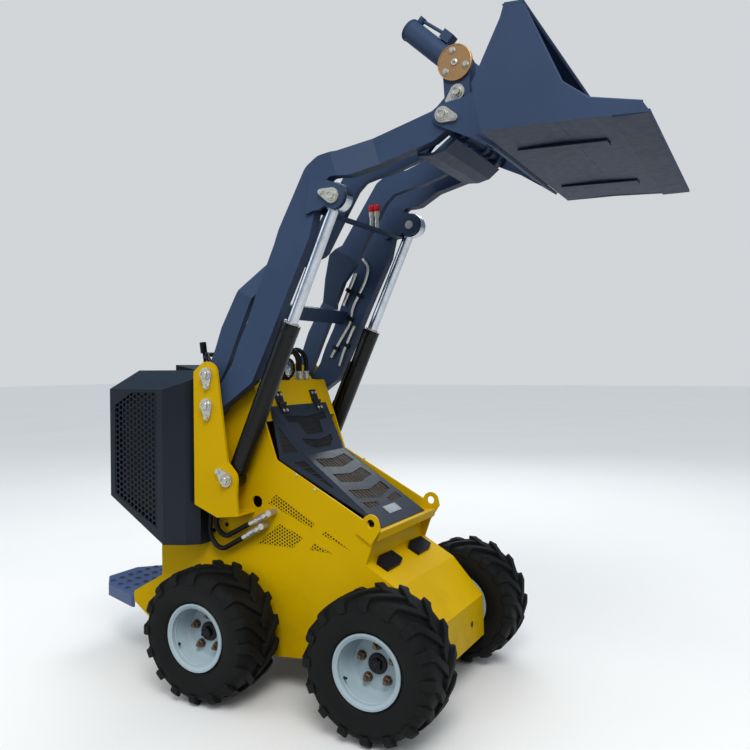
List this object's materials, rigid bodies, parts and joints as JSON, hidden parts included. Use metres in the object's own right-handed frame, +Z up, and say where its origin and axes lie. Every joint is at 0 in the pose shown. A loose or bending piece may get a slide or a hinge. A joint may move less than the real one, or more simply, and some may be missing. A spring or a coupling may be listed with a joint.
{
  "type": "stand-on skid steer loader",
  "caption": "Compact stand-on skid steer loader with lugged tyres, vented yellow body, self-levelling parallel lift arms and a wide bucket.",
  "frame": {"origin": "on the ground below the middle of the bounding box", "axes": "+X forward, +Y left, +Z up"},
  "size_m": [2.252, 0.99, 2.3526],
  "materials": {
    "bare_steel": "zinc plated",
    "black_paint": "gloss enamel",
    "black_plastic": "matt",
    "chrome_rod": "ground chrome",
    "copper_cap": "plated",
    "dark_paint": "satin enamel",
    "engine_metal": "rough",
    "hood_paint": "satin enamel",
    "hose_rubber": "matt",
    "rim_paint": "satin enamel",
    "steel_mesh": "dull",
    "step_paint": "satin enamel",
    "tyre_rubber": "matt",
    "yellow_paint": "semi-gloss enamel"
  },
  "bodies": {
    "chassis": {"box_screens": "black_paint", "chassis_hoses": "hose_rubber", "console_cover": "yellow_paint", "control_panel": "black_paint", "engine_block": "engine_metal", "front_crossbar": "yellow_paint", "grab_rail": "black_paint", "hinge_leaves": "bare_steel", "hose_fittings": "bare_steel", "lamp_lens": "chrome_rod", "lifting_eyes": "yellow_paint", "nose_belly_sheet": "yellow_paint", "side_boxes": "dark_paint", "side_plates": "yellow_paint", "slope_pads": "hose_rubber", "step_platform": "step_paint", "upright_pins": "bare_steel", "uprights": "yellow_paint", "wheel_motors": "black_paint", "work_lamp": "black_plastic"},
    "wheel_rear_right": {"tyre_rear_right": "tyre_rubber", "rim_rear_right": "rim_paint", "hub_rear_right": "bare_steel"},
    "wheel_rear_left": {"tyre_rear_left": "tyre_rubber", "rim_rear_left": "rim_paint", "hub_rear_left": "bare_steel"},
    "wheel_front_right": {"tyre_front_right": "tyre_rubber", "rim_front_right": "rim_paint", "hub_front_right": "bare_steel"},
    "wheel_front_left": {"tyre_front_left": "tyre_rubber", "rim_front_left": "rim_paint", "hub_front_left": "bare_steel"},
    "hood": {"hood": "hood_paint", "hood_screens": "steel_mesh", "hood_hinges": "bare_steel"},
    "lift_arms": {"main_arms": "dark_paint", "arm_cross_members": "dark_paint", "lift_brackets": "dark_paint", "lift_eye_pins": "bare_steel", "arm_pipes": "bare_steel", "quick_couplers": "bare_steel"},
    "links": {"links": "dark_paint"},
    "lift_barrels": {"lift_barrels": "black_paint", "lift_guards": "black_paint"},
    "lift_rods": {"lift_rods": "chrome_rod"},
    "coupler": {"coupler": "dark_paint", "link_tip_pins": "bare_steel", "trunnion_caps": "copper_cap"},
    "tilt_barrel": {"tilt_barrel": "black_paint", "tilt_ports": "bare_steel"},
    "tilt_rod": {"tilt_rod": "chrome_rod"},
    "bucket": {"hitch_frame": "dark_paint", "tip_pins": "bare_steel", "bucket": "dark_paint"}
  },
  "joints": [
    {"name": "rear_right_wheel_spin", "type": "hinge", "parent": "chassis", "child": "wheel_rear_right", "pos_m": [-0.336, 0, 0.2285], "axis": [0, 1, 0], "continuous": true},
    {"name": "rear_left_wheel_spin", "type": "hinge", "parent": "chassis", "child": "wheel_rear_left", "pos_m": [-0.336, 0, 0.2285], "axis": [0, 1, 0], "continuous": true},
    {"name": "front_right_wheel_spin", "type": "hinge", "parent": "chassis", "child": "wheel_front_right", "pos_m": [0.316, 0, 0.2285], "axis": [0, 1, 0], "continuous": true},
    {"name": "front_left_wheel_spin", "type": "hinge", "parent": "chassis", "child": "wheel_front_left", "pos_m": [0.316, 0, 0.2285], "axis": [0, 1, 0], "continuous": true},
    {"name": "hood_lid", "type": "hinge", "parent": "chassis", "child": "hood", "pos_m": [-0.2055, 0, 1.0035], "axis": [0, -1, 0], "range_deg": [0, 60]},
    {"name": "arm_lift", "type": "hinge", "parent": "chassis", "child": "lift_arms", "pos_m": [-0.373, 0, 1.004], "axis": [0, -1, 0], "range_deg": [-87.5, 2]},
    {"name": "link_swing", "type": "hinge", "parent": "chassis", "child": "links", "pos_m": [-0.373, 0, 1.112], "axis": [0, -1, 0], "range_deg": [-88.5, 3]},
    {"name": "lift_barrel_swing", "type": "hinge", "parent": "chassis", "child": "lift_barrels", "pos_m": [-0.2905, 0, 0.748], "axis": [0, -1, 0], "range_deg": [-86.18, 2.95]},
    {"name": "lift_rod_slide", "type": "slide", "parent": "lift_barrels", "child": "lift_rods", "axis": [0.4111, 0, 0.9116], "range_m": [-0.37349, 0.01147]},
    {"name": "coupler_level", "type": "hinge", "parent": "lift_arms", "child": "coupler", "pos_m": [0.492, 0, 1.906], "axis": [0, -1, 0], "range_deg": [-3, 88.5]},
    {"name": "bucket_tilt", "type": "hinge", "parent": "coupler", "child": "bucket", "pos_m": [0.492, 0, 1.906], "axis": [0, 1, 0], "range_deg": [-25, 40]},
    {"name": "tilt_barrel_swing", "type": "hinge", "parent": "coupler", "child": "tilt_barrel", "pos_m": [0.485, 0, 2.1085], "axis": [0, 1, 0], "range_deg": [-12.47, 19.35]},
    {"name": "tilt_rod_slide", "type": "slide", "parent": "tilt_barrel", "child": "tilt_rod", "axis": [0.7379, 0, -0.6749], "range_m": [-0.06149, 0.09659]}
  ],
  "couplings": [
    {"joint": "link_swing", "follows": "arm_lift", "ratio": 1},
    {"joint": "lift_barrel_swing", "follows": "arm_lift", "ratio": 0.97345},
    {"joint": "lift_rod_slide", "follows": "arm_lift", "m_per_rad": 0.2426},
    {"joint": "coupler_level", "follows": "arm_lift", "ratio": -1},
    {"joint": "tilt_barrel_swing", "follows": "bucket_tilt", "ratio": 0.45878},
    {"joint": "tilt_rod_slide", "follows": "bucket_tilt", "m_per_rad": 0.13406}
  ]
}
